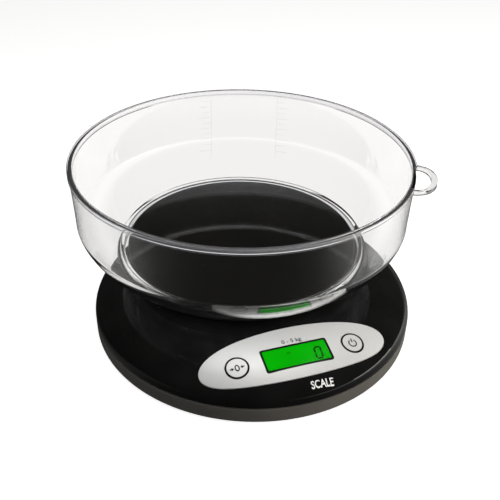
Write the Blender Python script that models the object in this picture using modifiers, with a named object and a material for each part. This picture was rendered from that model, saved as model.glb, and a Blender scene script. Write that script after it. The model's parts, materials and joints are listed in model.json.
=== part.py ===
"""Kitchen scale with a clear mixing bowl.

Everything is laid out about the bowl's axis (x = 0, y = 0), with the surface the scale stands
on at z = 0 and the front, with the display, towards -Y.  The root empty moves the whole scale so
that the origin ends up under the middle of its bounding box.
"""
import math

import bmesh
import bpy
from mathutils import Matrix, Vector

MM = 0.001
GAP = 0.3 * MM                      # clearance between neighbouring pieces
MERGE = 0.00005                     # weld distance of every modifier that merges
COLLECTION = "kitchen_scale"
ROOT_PLACE = (0.0, 10.25 * MM, 0.0)

# base
BASE_R = 110 * MM
BASE_Y = -25.5 * MM                 # the base's axis stands in front of the bowl's
BOTTOM_Z = 2.2 * MM                 # underside of the base, over the feet
BOTTOM_CORNER = 1.4 * MM            # rounding between the underside and the side
FLOOR_CORNER = 2 * MM               # and inside, between the floor and the wall
SEAM_Z = 14 * MM                    # parting line of the two shells
WALL = 2.4 * MM
GROOVE_DEPTH = 0.9 * MM
GROOVE_HEIGHT = 1.0 * MM
DOME_HEIGHT = 20 * MM               # crown of the upper shell over the parting line
DOME_POWER = 4.5                    # how flat the middle is
DOME_EDGE_POWER = 2.2               # how round the shoulder is
TURNED_STEPS = 48                   # sides of a large turned piece
SMALL_STEPS = 20                    # of a small one
SCREW_STEPS = 12                    # and of a screw or its hole

# raised collar of the upper shell, under the platform
COLLAR_R = 72 * MM
COLLAR_TOP_Z = 38 * MM
COLLAR_EDGE = 1 * MM
COLLAR_ROOT = 6 * MM                # how far over the parting line the collar is joined to the dome
COLLAR_HOLLOW_ROOT = 3 * MM

# platform
PLATFORM_R = 80.6 * MM
PLATFORM_TOP_Z = 47.4 * MM
PLATFORM_SKIRT_Z = 36.8 * MM
PLATFORM_EDGE = 1.6 * MM

# bowl
BOWL_WALL = 2.6 * MM
BOWL_FLOOR = 2.5 * MM
BOWL_SEAT_Z = PLATFORM_TOP_Z + GAP
RIM_R = 115 * MM
RIM_TOP_Z = 113.4 * MM
LIP_HEIGHT = 3.5 * MM
LIP_WIDTH = 3.3 * MM
LIP_EDGE = 0.8 * MM
SIDE_TOP_R = 114.3 * MM             # outside of the wall just under the lip
SIDE_LOW_R = 113.2 * MM             # and where it starts to curve in
CURVE_TOP_Z = 73.9 * MM
CURVE_LOW_R = 76.3 * MM             # where the curve would end if the foot didn't cut it
CURVE_LOW_Z = 39 * MM
CURVE_POWER = 1.46
CURVE_END = math.radians(63)        # where the foot cuts it off
FOOT_RING_OUT_R = 86.6 * MM
FOOT_RING_IN_R = 83.2 * MM
FOOT_RING_Z = 41 * MM
STEP_R = 86 * MM                    # edge of the raised floor inside
STEP_EDGE = 1 * MM
STEP_SLOPE = 0.3 * MM
HOOK_ANGLE = math.radians(-33)
HOOK_HALF_WIDTH = 18.3 * MM
HOOK_REACH = 12.6 * MM
HOOK_BAR = 3.9 * MM                 # width of its bar at the tip
HOOK_SIDE_BAR = 2.7 * MM            # and at the sides
HOOK_THICK = 2.8 * MM               # its underside is flush with the lip's
HOOK_ROOT = 2.5 * MM                # how far inside the rim its plate starts
HOOK_HOLE_X = 112.5 * MM            # straight inner side of the hook's hole

# control panel: a plate let into the dome, and what sits behind it in a tilted frame
PANEL_TILT = math.radians(11)
DISPLAY_R = 85.2 * MM               # display centre, from the base's axis
PANEL_HALF = (61 * MM, 18.75 * MM)
PANEL_BACK = 3.75 * MM              # the ellipse's centre lies behind the display's
PANEL_PROUD = 0.2 * MM
PANEL_THICK = 1.2 * MM
PANEL_GUIDE = 40 * MM               # height of the upright prisms that the plate and its pocket start from
WINDOW = (43.2 * MM, 16.4 * MM)
WINDOW_CORNER = 1.4 * MM
WINDOW_THICK = 1.1 * MM
WINDOW_SUNK = 0.5 * MM              # its top under the panel frame's plane
DISPLAY_OPENING = (49 * MM, 21 * MM)
KEY_X = 37.9 * MM
KEY_Y = 0.9 * MM
KEY_R = 7.3 * MM
KEY_PROUD = 0.35 * MM
KEY_BOTTOM = -6 * MM
BOARD_TOP = -9.6 * MM
BOARD_THICK = 1.6 * MM
BOARD_SIZE = (90 * MM, 22 * MM)
BOARD_Y = 3 * MM
BOARD_SCREWS = [(-29 * MM, 11 * MM), (29 * MM, 11 * MM)]
BOARD_BOSS_R = 3 * MM
BOARD_HOLE_R = 1.4 * MM
GLASS = (46 * MM, 18.4 * MM)
GLASS_Z = (-4.5 * MM, -2.7 * MM)
UNDER_GLASS_Z = -4.8 * MM
BACKLIGHT = (44 * MM, 14 * MM)
BACKLIGHT_Z = -7.9 * MM
ZEBRA = (42 * MM, 1.8 * MM)
ZEBRA_Y = 7.6 * MM
LCD_FRAME = (52 * MM, 21 * MM)
LCD_FRAME_HOLE = (46 * MM, 18 * MM)
LCD_FRAME_TOP = -6 * MM

# weighing element
CELL_SIZE = (80 * MM, 12.7 * MM, 12.7 * MM)
CELL_Z = 10.1 * MM
CELL_HOLES = (20 * MM, 35 * MM)     # screw places, from the middle of the bar
CELL_HOLE_R = 2.3 * MM
CELL_BORE_R = 4.6 * MM
CELL_BORE_X = 7 * MM
CELL_SLOT_SKIN = 4.5 * MM           # solid over and under the slot that joins the bores
CELL_SCREW_HEAD = (3.9 * MM, 2 * MM)
CELL_SCREW_Z = 4.7 * MM
CELL_SCREW_R = 2 * MM
PAD_TOP_Z = 7.5 * MM
CARRIER_Z = 26.2 * MM
CARRIER_THICK = 3 * MM
CARRIER_REACH = 44 * MM
POST_R = 4.5 * MM
POST_TOP_Z = 37.7 * MM
GAUGE = (24 * MM, 9 * MM)
GAUGE_THICK = 0.8 * MM
PAD_X = (14 * MM, 40 * MM)          # the two ends of the bar that are clamped
CLAMP_HALF_Y = 8 * MM
CARRIER_ARM = 12 * MM

# power
CELL_AAA_R = 5.25 * MM
CELL_AAA_LENGTH = 43.3 * MM
BATTERY_Y = (39.3 * MM, 50.7 * MM)
BATTERY_Z = 10.3 * MM
DOOR_SIZE = (58 * MM, 27 * MM, 2.0 * MM)
DOOR_Y = 45 * MM
BAY_OUTSIDE = (61 * MM, 30 * MM)
BAY_INSIDE = (57 * MM, 26 * MM)
BAY_TOP_Z = 17 * MM
CONTACT_X = (27.5 * MM, 28.2 * MM)
CONTACT_Z = (5.4 * MM, 15.4 * MM)
SPRING_TURNS = 3
SPRING_WIRE_R = 0.35 * MM
SPRING_R = (4.4 * MM, 3.0 * MM)     # at the wall, at the cell
SPRING_X = (4.3 * MM, 0.9 * MM)     # the same, from the cell's end

FOOT_PLACES = [(x * MM, y * MM) for x in (-64, 64) for y in (-89.5, 38.5)]
FOOT_R = 7 * MM
HOUSING_SCREWS = [(-80 * MM, 5 * MM), (80 * MM, 5 * MM), (-70 * MM, -75 * MM), (70 * MM, -75 * MM)]
HOUSING_POST_R = 4.2 * MM
HOUSING_POST_Z = (9 * MM, 28.6 * MM)
HOUSING_BOSS_R = 5.4 * MM
SCREW_HOLE_R = 1.8 * MM
SCREW_HEAD = (3.2 * MM, 2 * MM)     # radius and height
SCREW_HEAD_Z = 5.3 * MM
COUNTERBORE_R = 3.6 * MM


def clear_scene():
    for obj in list(bpy.data.objects):
        bpy.data.objects.remove(obj, do_unlink=True)


def material(name, color, roughness, metallic=0.0, transmission=0.0):
    mat = bpy.data.materials.new(name)
    mat.use_nodes = True
    shader = mat.node_tree.nodes["Principled BSDF"]
    shader.inputs["Base Color"].default_value = (*color, 1.0)
    shader.inputs["Roughness"].default_value = roughness
    shader.inputs["Metallic"].default_value = metallic
    shader.inputs["Transmission Weight"].default_value = transmission
    return mat


def collection(name):
    made = bpy.data.collections.new(name)
    bpy.context.scene.collection.children.link(made)
    return made


def add(name, data, mat=None, parent=None, place=(0, 0, 0)):
    """Put a mesh or curve in the scene: a part if it has a material, a cutter if not."""
    obj = bpy.data.objects.new(name, data)
    obj.location = place
    obj.parent = parent
    if mat is None:
        obj.hide_render = True
        obj.display_type = "WIRE"
        CUTTERS.objects.link(obj)
    else:
        PARTS.objects.link(obj)
        data.materials.append(mat)
    return obj


def to_mesh_object(obj, mat=None):
    """Replace an object by the mesh that its modifiers or its curve make."""
    bpy.context.view_layer.update()
    evaluated = obj.evaluated_get(bpy.context.evaluated_depsgraph_get())
    mesh = bpy.data.meshes.new_from_object(evaluated)
    mesh.materials.clear()
    bm = bmesh.new()
    bm.from_mesh(mesh)
    bmesh.ops.remove_doubles(bm, verts=bm.verts, dist=MERGE)
    bmesh.ops.recalc_face_normals(bm, faces=bm.faces)
    bm.to_mesh(mesh)
    bm.free()
    name, parent, place = obj.name, obj.parent, obj.location.copy()
    bpy.data.objects.remove(obj, do_unlink=True)
    return add(name, mesh, mat, parent, place)


def turned(name, profile, mat=None, parent=None, place=(0, 0, 0), steps=TURNED_STEPS):
    """Turn a profile of (radius, height) points, given top to bottom along its outer side."""
    mesh = bpy.data.meshes.new(name)
    points = [(r, 0, z) for r, z in profile]
    mesh.from_pydata(points, [(i, i + 1) for i in range(len(points) - 1)], [])
    obj = add(name, mesh, mat, parent, place)
    screw = obj.modifiers.new("turn", "SCREW")
    screw.steps = steps
    screw.render_steps = steps
    screw.use_merge_vertices = True
    screw.merge_threshold = MERGE
    screw.use_smooth_shade = True
    return obj


def rods(name, places, radius, z0, z1, mat=None, parent=None, sides=20, place=(0, 0, 0)):
    """One or more upright cylinders in one mesh."""
    bm = bmesh.new()
    for x, y in places:
        shift = Matrix.Translation((x, y, (z0 + z1) / 2))
        bmesh.ops.create_cone(bm, cap_ends=True, segments=sides, radius1=radius, radius2=radius,
                              depth=z1 - z0, matrix=shift)
    return from_bmesh(name, bm, mat, parent, place)


def blocks(name, boxes, mat=None, parent=None):
    """One or more boxes in one mesh, each given by its low and high corner."""
    bm = bmesh.new()
    for low, high in boxes:
        size = [b - a for a, b in zip(low, high)]
        middle = [(a + b) / 2 for a, b in zip(low, high)]
        matrix = Matrix.Translation(middle) @ Matrix.Diagonal((*size, 1))
        bmesh.ops.create_cube(bm, size=1, matrix=matrix)
    return from_bmesh(name, bm, mat, parent)


def from_bmesh(name, bm, mat, parent, place=(0, 0, 0)):
    mesh = bpy.data.meshes.new(name)
    bm.to_mesh(mesh)
    bm.free()
    return add(name, mesh, mat, parent, place)


def centred(size, z0, z1, x=0.0, y=0.0):
    """Low and high corner of a box of a given length and width around (x, y)."""
    return (x - size[0] / 2, y - size[1] / 2, z0), (x + size[0] / 2, y + size[1] / 2, z1)


def combine(obj, other, operation):
    boolean = obj.modifiers.new(operation.lower(), "BOOLEAN")
    boolean.operation = operation
    boolean.solver = "EXACT"
    boolean.object = other


def cut(obj, *cutters):
    for cutter in cutters:
        combine(obj, cutter, "DIFFERENCE")


def unite(obj, *others):
    for other in others:
        combine(obj, other, "UNION")


def flat_outline(name, rings, thickness, mat=None, parent=None, place=(0, 0, 0)):
    """A flat plate from closed outlines; inner outlines are holes."""
    curve = bpy.data.curves.new(name, "CURVE")
    curve.dimensions = "2D"
    curve.fill_mode = "BOTH"
    curve.extrude = thickness / 2
    for ring in rings:
        spline = curve.splines.new("POLY")
        spline.points.add(len(ring) - 1)
        for point, (x, y) in zip(spline.points, ring):
            point.co = (x, y, 0, 1)
        spline.use_cyclic_u = True
    obj = bpy.data.objects.new(name, curve)
    obj.parent = parent
    obj.location = place
    CUTTERS.objects.link(obj)
    return to_mesh_object(obj, mat)


def smooth_route(points, spacing):
    """Points along a smooth curve through the given ones, about one spacing apart."""
    points = [Vector(p) for p in points]
    ends = [points[0] * 2 - points[1]] + points + [points[-1] * 2 - points[-2]]
    route = []
    for a, b, c, d in zip(ends, ends[1:], ends[2:], ends[3:]):
        count = max(1, round((c - b).length / spacing))
        for i in range(count):
            t = i / count
            route.append(0.5 * (2 * b + (c - a) * t + (2 * a - 5 * b + 4 * c - d) * t ** 2
                                + (3 * b - a - 3 * c + d) * t ** 3))
    return route + [points[-1]]


def tube(name, points, radius, mat, parent):
    curve = bpy.data.curves.new(name, "CURVE")
    curve.dimensions = "3D"
    curve.bevel_depth = radius
    curve.bevel_resolution = 2
    curve.use_fill_caps = True
    spline = curve.splines.new("POLY")
    spline.points.add(len(points) - 1)
    for point, co in zip(spline.points, points):
        point.co = (*co, 1)
    return add(name, curve, mat, parent)


def dome_height(r):
    """Height of the upper shell over the parting line."""
    return DOME_HEIGHT * (1 - (min(r, BASE_R) / BASE_R) ** DOME_POWER) ** (1 / DOME_EDGE_POWER)


def dome_profile(offset=0.0, points=11):
    """Outside of the upper shell, crown to parting line, moved along its normal by an offset."""
    profile = [(0, SEAM_Z + DOME_HEIGHT + offset)]
    for i in range(1, points - 1):
        r = BASE_R * math.sin(math.pi / 2 * i / (points - 1)) ** 0.8
        slope = (dome_height(r + MERGE) - dome_height(r - MERGE)) / (2 * MERGE)
        length = math.hypot(1, slope)
        profile.append((r - offset * slope / length, SEAM_Z + dome_height(r) + offset / length))
    profile.append((BASE_R + offset, SEAM_Z))
    return profile


def dome_solid(name, offset, bottom_z, mat=None):
    profile = dome_profile(offset)
    profile.append((profile[-1][0], bottom_z))
    profile.append((0, bottom_z))
    return turned(name, profile, mat, ROOT, (0, BASE_Y, 0))


def ellipse(half_x, half_y, y=0.0, count=64):
    angles = [2 * math.pi * i / count for i in range(count)]
    return [(half_x * math.cos(a), y + half_y * math.sin(a)) for a in angles]


def rounded_rectangle(size, radius, count=4):
    points = []
    for corner, (sx, sy) in enumerate([(1, 1), (-1, 1), (-1, -1), (1, -1)]):
        for i in range(count + 1):
            angle = math.pi / 2 * (corner + i / count)
            points.append((sx * (size[0] / 2 - radius) + radius * math.cos(angle),
                           sy * (size[1] / 2 - radius) + radius * math.sin(angle)))
    return points


def panel_prism(name, grow):
    rings = [ellipse(PANEL_HALF[0] + grow, PANEL_HALF[1] + grow)]
    centre_y = BASE_Y - DISPLAY_R + PANEL_BACK
    return flat_outline(name, rings, PANEL_GUIDE, None, ROOT, (0, centre_y, SEAM_Z + PANEL_GUIDE * 3 / 8))


def screws(name, places, parent, head, shank, up=True):
    """Pan-head screws: head = (radius, height, z of its bearing face), shank = (radius, length)."""
    head_r, head_height, bearing_z = head
    shank_r, length = shank
    profile = [(0, length), (shank_r * 0.5, length), (shank_r, length - shank_r), (shank_r, 0),
               (head_r, 0), (head_r, -head_height * 0.6), (head_r * 0.7, -head_height), (0, -head_height)]
    for i, (x, y) in enumerate(places, 1):
        screw = turned(f"{name}_{i}", profile, MAT["steel"], parent, (x, y, bearing_z), SCREW_STEPS)
        screw.rotation_euler.x = 0 if up else math.pi


def bores(name, places, radius, z0, z1, parent):
    """Round holes for screws, or the posts and pins that fit them."""
    return rods(name, places, radius, z0, z1, parent=parent, sides=SCREW_STEPS)


def make_upper_housing():
    shell = dome_solid("upper_housing", 0.0, SEAM_Z, MAT["gloss_black"])
    root_z = SEAM_Z + COLLAR_ROOT
    collar = turned("collar_outside", [(0, COLLAR_TOP_Z), (COLLAR_R - COLLAR_EDGE, COLLAR_TOP_Z),
                                       (COLLAR_R, COLLAR_TOP_Z - COLLAR_EDGE), (COLLAR_R, root_z),
                                       (0, root_z)], parent=ROOT)
    hollow = dome_solid("dome_inside", -WALL, SEAM_Z - 2 * WALL)
    inside_r = COLLAR_R - WALL
    inside_top = COLLAR_TOP_Z - WALL
    inside_low = SEAM_Z + COLLAR_HOLLOW_ROOT
    collar_hollow = turned("collar_inside", [(0, inside_top), (inside_r, inside_top), (inside_r, inside_low),
                                             (0, inside_low)], parent=ROOT)
    unite(shell, collar)
    cut(shell, hollow, collar_hollow)
    unite(shell, rods("side_posts", HOUSING_SCREWS[:2], HOUSING_POST_R, *HOUSING_POST_Z, parent=ROOT),
          rods("front_posts", HOUSING_SCREWS[2:], HOUSING_POST_R, *HOUSING_POST_Z, parent=ROOT),
          rods("board_bosses", BOARD_SCREWS, BOARD_BOSS_R, BOARD_TOP + GAP, -1.9 * MM, parent=PANEL))
    pocket = panel_prism("panel_pocket", GAP)
    cut(pocket, dome_solid("pocket_floor", -PANEL_THICK - PANEL_PROUD / 2, SEAM_Z - MM))
    opening = blocks("display_opening", [centred(DISPLAY_OPENING, -12 * MM, 5 * MM)], parent=PANEL)
    cut(shell, pocket, opening,
        rods("key_holes", KEY_PLACES, KEY_R + 0.5 * MM, -9 * MM, 5 * MM, parent=PANEL, sides=32),
        bores("post_bores", HOUSING_SCREWS, SCREW_HOLE_R, HOUSING_POST_Z[0] - MM, 20 * MM, ROOT),
        bores("boss_bores", BOARD_SCREWS, BOARD_HOLE_R, -13 * MM, -5 * MM, PANEL),
        rods("carrier_holes", carrier_places(), POST_R + 2 * MM, 30 * MM, 45 * MM, parent=ROOT))
    return shell


def make_lower_housing():
    inside_r = BASE_R - WALL
    floor_z = BOTTOM_Z + WALL
    lip_z = SEAM_Z - GAP
    groove_r = BASE_R - GROOVE_DEPTH
    profile = [(0, floor_z), (inside_r - FLOOR_CORNER, floor_z), (inside_r, floor_z + FLOOR_CORNER),
               (inside_r, lip_z), (groove_r, lip_z), (groove_r, lip_z - GROOVE_HEIGHT),
               (BASE_R, lip_z - GROOVE_HEIGHT)]
    for i in range(5):
        angle = math.pi / 2 * i / 4
        profile.append((BASE_R - BOTTOM_CORNER * (1 - math.cos(angle)),
                        BOTTOM_Z + BOTTOM_CORNER * (1 - math.sin(angle))))
    profile.append((0, BOTTOM_Z))
    shell = turned("lower_housing", profile, MAT["satin_black"], ROOT, (0, BASE_Y, 0))
    in_floor = BOTTOM_Z + WALL / 2
    pad = blocks("cell_pad", [((-PAD_X[1], -10 * MM, in_floor), (-PAD_X[0], 10 * MM, PAD_TOP_Z))],
                 parent=ROOT)
    bosses = rods("housing_bosses", HOUSING_SCREWS, HOUSING_BOSS_R, in_floor, HOUSING_POST_Z[0] - GAP,
                  parent=ROOT)
    bay = blocks("battery_bay", [centred(BAY_OUTSIDE, in_floor, BAY_TOP_Z, y=DOOR_Y)], parent=ROOT)
    unite(shell, pad, bosses, bay)
    bay_room = blocks("battery_room", [centred(BAY_INSIDE, BOTTOM_Z + MM, BAY_TOP_Z + MM, y=DOOR_Y)],
                      parent=ROOT)
    doorway_size = [size + 2 * GAP for size in DOOR_SIZE[:2]]
    doorway = blocks("doorway", [centred(doorway_size, MM, BOTTOM_Z + DOOR_SIZE[2] + 2 * GAP, y=DOOR_Y)],
                     parent=ROOT)
    cell_places = [(-x, 0) for x in CELL_HOLES]
    cut(shell, bay_room, doorway,
        bores("boss_bore", HOUSING_SCREWS, SCREW_HOLE_R, MM, 10 * MM, ROOT),
        rods("boss_counterbore", HOUSING_SCREWS, COUNTERBORE_R, MM, SCREW_HEAD_Z + GAP, parent=ROOT),
        bores("cell_bore", cell_places, CELL_HOLE_R, MM, 9 * MM, ROOT),
        rods("cell_counterbore", cell_places, CELL_SCREW_HEAD[0] + 0.4 * MM, MM, CELL_SCREW_Z + GAP,
             parent=ROOT))
    return shell


def bowl_wall_curve(offset=0.0, count=9):
    """Outside of the bowl from under the lip down to the foot, moved inwards by an offset."""
    def curve_point(angle):
        r = CURVE_LOW_R + (SIDE_LOW_R - CURVE_LOW_R) * math.cos(angle) ** (2 / CURVE_POWER)
        z = CURVE_TOP_Z - (CURVE_TOP_Z - CURVE_LOW_Z) * math.sin(angle) ** (2 / CURVE_POWER)
        return Vector((r, z))

    points = [(SIDE_TOP_R - offset, RIM_TOP_Z - LIP_HEIGHT)]
    for i in range(count):
        angle = CURVE_END * (i + 0.3) / (count - 0.7)
        along = (curve_point(angle + 0.01) - curve_point(angle - 0.01)).normalized()
        inward = Vector((along.y, -along.x))
        moved = curve_point(angle) + inward * offset
        points.append((moved.x, moved.y))
    return points


def hook_arc(root_x, half, tip_x, count=12):
    """A D shape: straight across at its root, round at its tip."""
    points = []
    for i in range(count + 1):
        angle = math.pi * (i / count - 0.5)
        points.append((root_x + (tip_x - root_x) * max(0.0, math.cos(angle)) ** 0.8, half * math.sin(angle)))
    return points


def make_bowl():
    floor_z = BOWL_SEAT_Z + BOWL_FLOOR
    inside = bowl_wall_curve(BOWL_WALL)
    trough_z = inside[-1][1]
    lip_in = RIM_R - LIP_WIDTH
    lip_edge_z = RIM_TOP_Z - LIP_EDGE
    profile = [(0, floor_z), (STEP_R - STEP_EDGE, floor_z), (STEP_R, floor_z - STEP_EDGE),
               (STEP_R + STEP_SLOPE, trough_z)]
    profile += reversed(inside)
    profile += [(lip_in, lip_edge_z), (lip_in + 0.7 * MM, RIM_TOP_Z), (RIM_R - LIP_EDGE, RIM_TOP_Z),
                (RIM_R, lip_edge_z), (RIM_R, RIM_TOP_Z - LIP_HEIGHT)]
    profile += bowl_wall_curve()
    profile += [(FOOT_RING_OUT_R, FOOT_RING_Z), (FOOT_RING_IN_R, FOOT_RING_Z), (FOOT_RING_IN_R, BOWL_SEAT_Z),
                (0, BOWL_SEAT_Z)]
    bowl = turned("bowl", profile, MAT["clear"], ROOT)
    tip = RIM_R + HOOK_REACH
    hook = flat_outline("hook_outline", [hook_arc(RIM_R - HOOK_ROOT, HOOK_HALF_WIDTH, tip)],
                        HOOK_THICK, None, ROOT, (0, 0, RIM_TOP_Z - LIP_HEIGHT + HOOK_THICK / 2))
    hole_half = HOOK_HALF_WIDTH - HOOK_SIDE_BAR
    hole = flat_outline("hook_hole", [hook_arc(HOOK_HOLE_X, hole_half, tip - HOOK_BAR)],
                        8 * MM, None, ROOT, (0, 0, RIM_TOP_Z - LIP_HEIGHT + 4 * MM))
    for outline in (hook, hole):
        outline.rotation_euler.z = HOOK_ANGLE
    unite(bowl, hook)
    cut(bowl, hole)
    return bowl


def make_platform():
    top, skirt, edge = PLATFORM_TOP_Z, PLATFORM_SKIRT_Z, PLATFORM_EDGE
    profile = [(0, top), (PLATFORM_R - edge, top), (PLATFORM_R - edge * 0.3, top - edge * 0.3),
               (PLATFORM_R, top - edge), (PLATFORM_R, skirt), (PLATFORM_R - WALL, skirt),
               (PLATFORM_R - WALL, top - WALL), (0, top - WALL)]
    platform = turned("weighing_platform", profile, MAT["gloss_black"], ROOT)
    places = carrier_places()
    unite(platform, rods("platform_bosses", places, POST_R, POST_TOP_Z + GAP, top - WALL / 2, parent=ROOT))
    cut(platform, bores("platform_bores", places, SCREW_HOLE_R, 30 * MM, top - WALL, ROOT))
    return platform


def carrier_places():
    """Where the four posts join the carrier to the platform."""
    angles = [math.radians(45 + 90 * i) for i in range(4)]
    return [(CARRIER_REACH * math.cos(a), CARRIER_REACH * math.sin(a)) for a in angles]


def make_carrier():
    top = CARRIER_Z + CARRIER_THICK
    arm = [centred((CARRIER_REACH * 2 + CARRIER_ARM, CARRIER_ARM), CARRIER_Z, top)]
    carrier = blocks("platform_carrier", arm, MAT["satin_black"], ROOT)
    carrier.rotation_euler.z = math.radians(45)
    other = blocks("carrier_arm", arm, parent=ROOT)
    other.rotation_euler.z = math.radians(-45)
    bridge = blocks("carrier_bridge", [((0, -9 * MM, CARRIER_Z), (PAD_X[1] + 2 * MM, 9 * MM, top))],
                    parent=ROOT)
    cell_places = [(x, 0) for x in CELL_HOLES]
    unite(carrier, other, bridge,
          rods("carrier_posts", carrier_places(), POST_R, CARRIER_Z + MM, POST_TOP_Z, parent=ROOT))
    cut(carrier, bores("carrier_cell_bores", cell_places, CELL_HOLE_R, 20 * MM, 40 * MM, ROOT),
        bores("carrier_post_bores", carrier_places(), SCREW_HOLE_R, 20 * MM, 40 * MM, ROOT))
    return carrier


def make_control_panel():
    plate = panel_prism("control_panel", 0.0)
    plate = to_mesh_object(plate, MAT["silver"])
    combine(plate, dome_solid("panel_top", PANEL_PROUD, SEAM_Z), "INTERSECT")
    hole = rounded_rectangle([size + 2 * GAP for size in WINDOW], WINDOW_CORNER + 0.2 * MM)
    window = flat_outline("window_hole", [hole], 16 * MM, None, PANEL)
    cut(plate, dome_solid("panel_underside", PANEL_PROUD - PANEL_THICK, SEAM_Z - MM), window,
        rods("panel_key_holes", KEY_PLACES, KEY_R + 0.4 * MM, -9 * MM, 5 * MM, parent=PANEL, sides=32))
    return plate


def make_keys():
    for name, (x, y) in zip(("tare_button", "power_button"), KEY_PLACES):
        key = rods(name, [(x, y)], KEY_R, KEY_BOTTOM, 4 * MM, MAT["silver"], PANEL, sides=32)
        combine(key, dome_solid(name + "_top", KEY_PROUD, SEAM_Z - MM), "INTERSECT")
        back = y + KEY_R
        lug = ((x - 2.5 * MM, back - 2 * MM, KEY_BOTTOM), (x + 2.5 * MM, back + 2.4 * MM, KEY_BOTTOM + MM))
        unite(key, blocks(name + "_lug", [lug], parent=PANEL))


def make_switches():
    low = BOARD_TOP + GAP
    for name, (x, y) in zip(("tare_switch", "power_switch"), KEY_PLACES):
        body = blocks(name, [centred((6 * MM, 6 * MM), low, low + 2 * MM, x, y)], MAT["dark_metal"], PANEL)
        unite(body, rods(name + "_plunger", [(x, y)], 1.7 * MM, low + MM, low + 2.5 * MM,
                         parent=PANEL, sides=16))


def make_display():
    on_board = BOARD_TOP + GAP
    flat_outline("lcd_window", [rounded_rectangle(WINDOW, WINDOW_CORNER)], WINDOW_THICK, MAT["clear"], PANEL,
                 (0, 0, -WINDOW_SUNK - WINDOW_THICK / 2))
    blocks("lcd_glass", [centred(GLASS, *GLASS_Z)], MAT["green"], PANEL)
    blocks("backlight_plate", [centred(BACKLIGHT, BACKLIGHT_Z, UNDER_GLASS_Z, y=-1.5 * MM)],
           MAT["white"], PANEL)
    blocks("zebra_strip", [centred(ZEBRA, on_board, UNDER_GLASS_Z, y=ZEBRA_Y)], MAT["rubber"], PANEL)
    frame = blocks("lcd_frame", [centred(LCD_FRAME, on_board, LCD_FRAME_TOP)], MAT["white"], PANEL)
    cut(frame, blocks("lcd_frame_hole", [centred(LCD_FRAME_HOLE, -12 * MM, -3 * MM)], parent=PANEL))


def make_board():
    low = BOARD_TOP - BOARD_THICK
    board = blocks("main_circuit_board", [centred(BOARD_SIZE, low, BOARD_TOP, y=BOARD_Y)],
                   MAT["board_green"], PANEL)
    cut(board, bores("board_holes", BOARD_SCREWS, BOARD_HOLE_R, low - MM, BOARD_TOP + MM, PANEL))
    screws("board_screw", BOARD_SCREWS, PANEL, (2.5 * MM, 1.6 * MM, low - GAP), (1.05 * MM, 5.5 * MM))


def make_load_cell():
    """A bar held at its left end by the base and carrying the platform on its right end."""
    top = CELL_Z + CELL_SIZE[2]
    cell = blocks("load_cell", [centred(CELL_SIZE, CELL_Z, top)], MAT["aluminium"], ROOT)
    bm = bmesh.new()
    for x in (-CELL_BORE_X, CELL_BORE_X):
        matrix = Matrix.Translation((x, 0, CELL_Z + CELL_SIZE[2] / 2)) @ Matrix.Rotation(math.pi / 2, 4, "X")
        bmesh.ops.create_cone(bm, cap_ends=True, segments=20, radius1=CELL_BORE_R, radius2=CELL_BORE_R,
                              depth=20 * MM, matrix=matrix)
    cross_bores = from_bmesh("cell_bores", bm, None, ROOT)
    slot = blocks("cell_slot", [((-CELL_BORE_X, -10 * MM, CELL_Z + CELL_SLOT_SKIN),
                                 (CELL_BORE_X, 10 * MM, top - CELL_SLOT_SKIN))], parent=ROOT)
    base_places = [(-x, 0) for x in CELL_HOLES]
    platform_places = [(x, 0) for x in CELL_HOLES]
    cut(cell, cross_bores, slot,
        bores("cell_holes", base_places + platform_places, CELL_HOLE_R, 5 * MM, 30 * MM, ROOT))
    blocks("strain_gauge_top", [centred(GAUGE, top + GAP, top + GAP + GAUGE_THICK)], MAT["white"], ROOT)
    blocks("strain_gauge_bottom", [centred(GAUGE, CELL_Z - GAP - GAUGE_THICK, CELL_Z - GAP)],
           MAT["white"], ROOT)
    base_plate = blocks("load_cell_plate", [((-PAD_X[1], -CLAMP_HALF_Y, PAD_TOP_Z + GAP),
                                             (-PAD_X[0], CLAMP_HALF_Y, CELL_Z - GAP))], MAT["steel"], ROOT)
    spacer = blocks("carrier_spacer", [((PAD_X[0], -CLAMP_HALF_Y, top + GAP),
                                        (PAD_X[1], CLAMP_HALF_Y, CARRIER_Z - GAP))], MAT["steel"], ROOT)
    cut(base_plate, bores("plate_bores", base_places, CELL_HOLE_R, 5 * MM, 12 * MM, ROOT))
    cut(spacer, bores("spacer_bores", platform_places, CELL_HOLE_R, 20 * MM, 30 * MM, ROOT))
    screws("load_cell_base_screw", base_places, ROOT,
           (*CELL_SCREW_HEAD, CELL_SCREW_Z), (CELL_SCREW_R, 12 * MM))
    screws("load_cell_platform_screw", platform_places, ROOT,
           (*CELL_SCREW_HEAD, CARRIER_Z + CARRIER_THICK + GAP), (CELL_SCREW_R, 13 * MM), up=False)


def battery_profile():
    half, edge = CELL_AAA_LENGTH / 2, 0.6 * MM
    return [(0, half + MM), (1.9 * MM, half + MM), (1.9 * MM, half), (CELL_AAA_R - edge, half),
            (CELL_AAA_R, half - edge), (CELL_AAA_R, -half + edge), (CELL_AAA_R - edge, -half), (0, -half)]


def spring_coil(y, side):
    """A cone of three turns from the bay's wall to the flat end of a cell."""
    count = SPRING_TURNS * 10
    points = []
    for step in range(count + 1):
        share, angle = step / count, 2 * math.pi * step / 10
        reach = SPRING_R[0] + (SPRING_R[1] - SPRING_R[0]) * share
        x = CELL_AAA_LENGTH / 2 + SPRING_X[0] + (SPRING_X[1] - SPRING_X[0]) * share
        points.append((-side * x, y + reach * math.cos(angle), BATTERY_Z + reach * math.sin(angle)))
    return points


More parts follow.
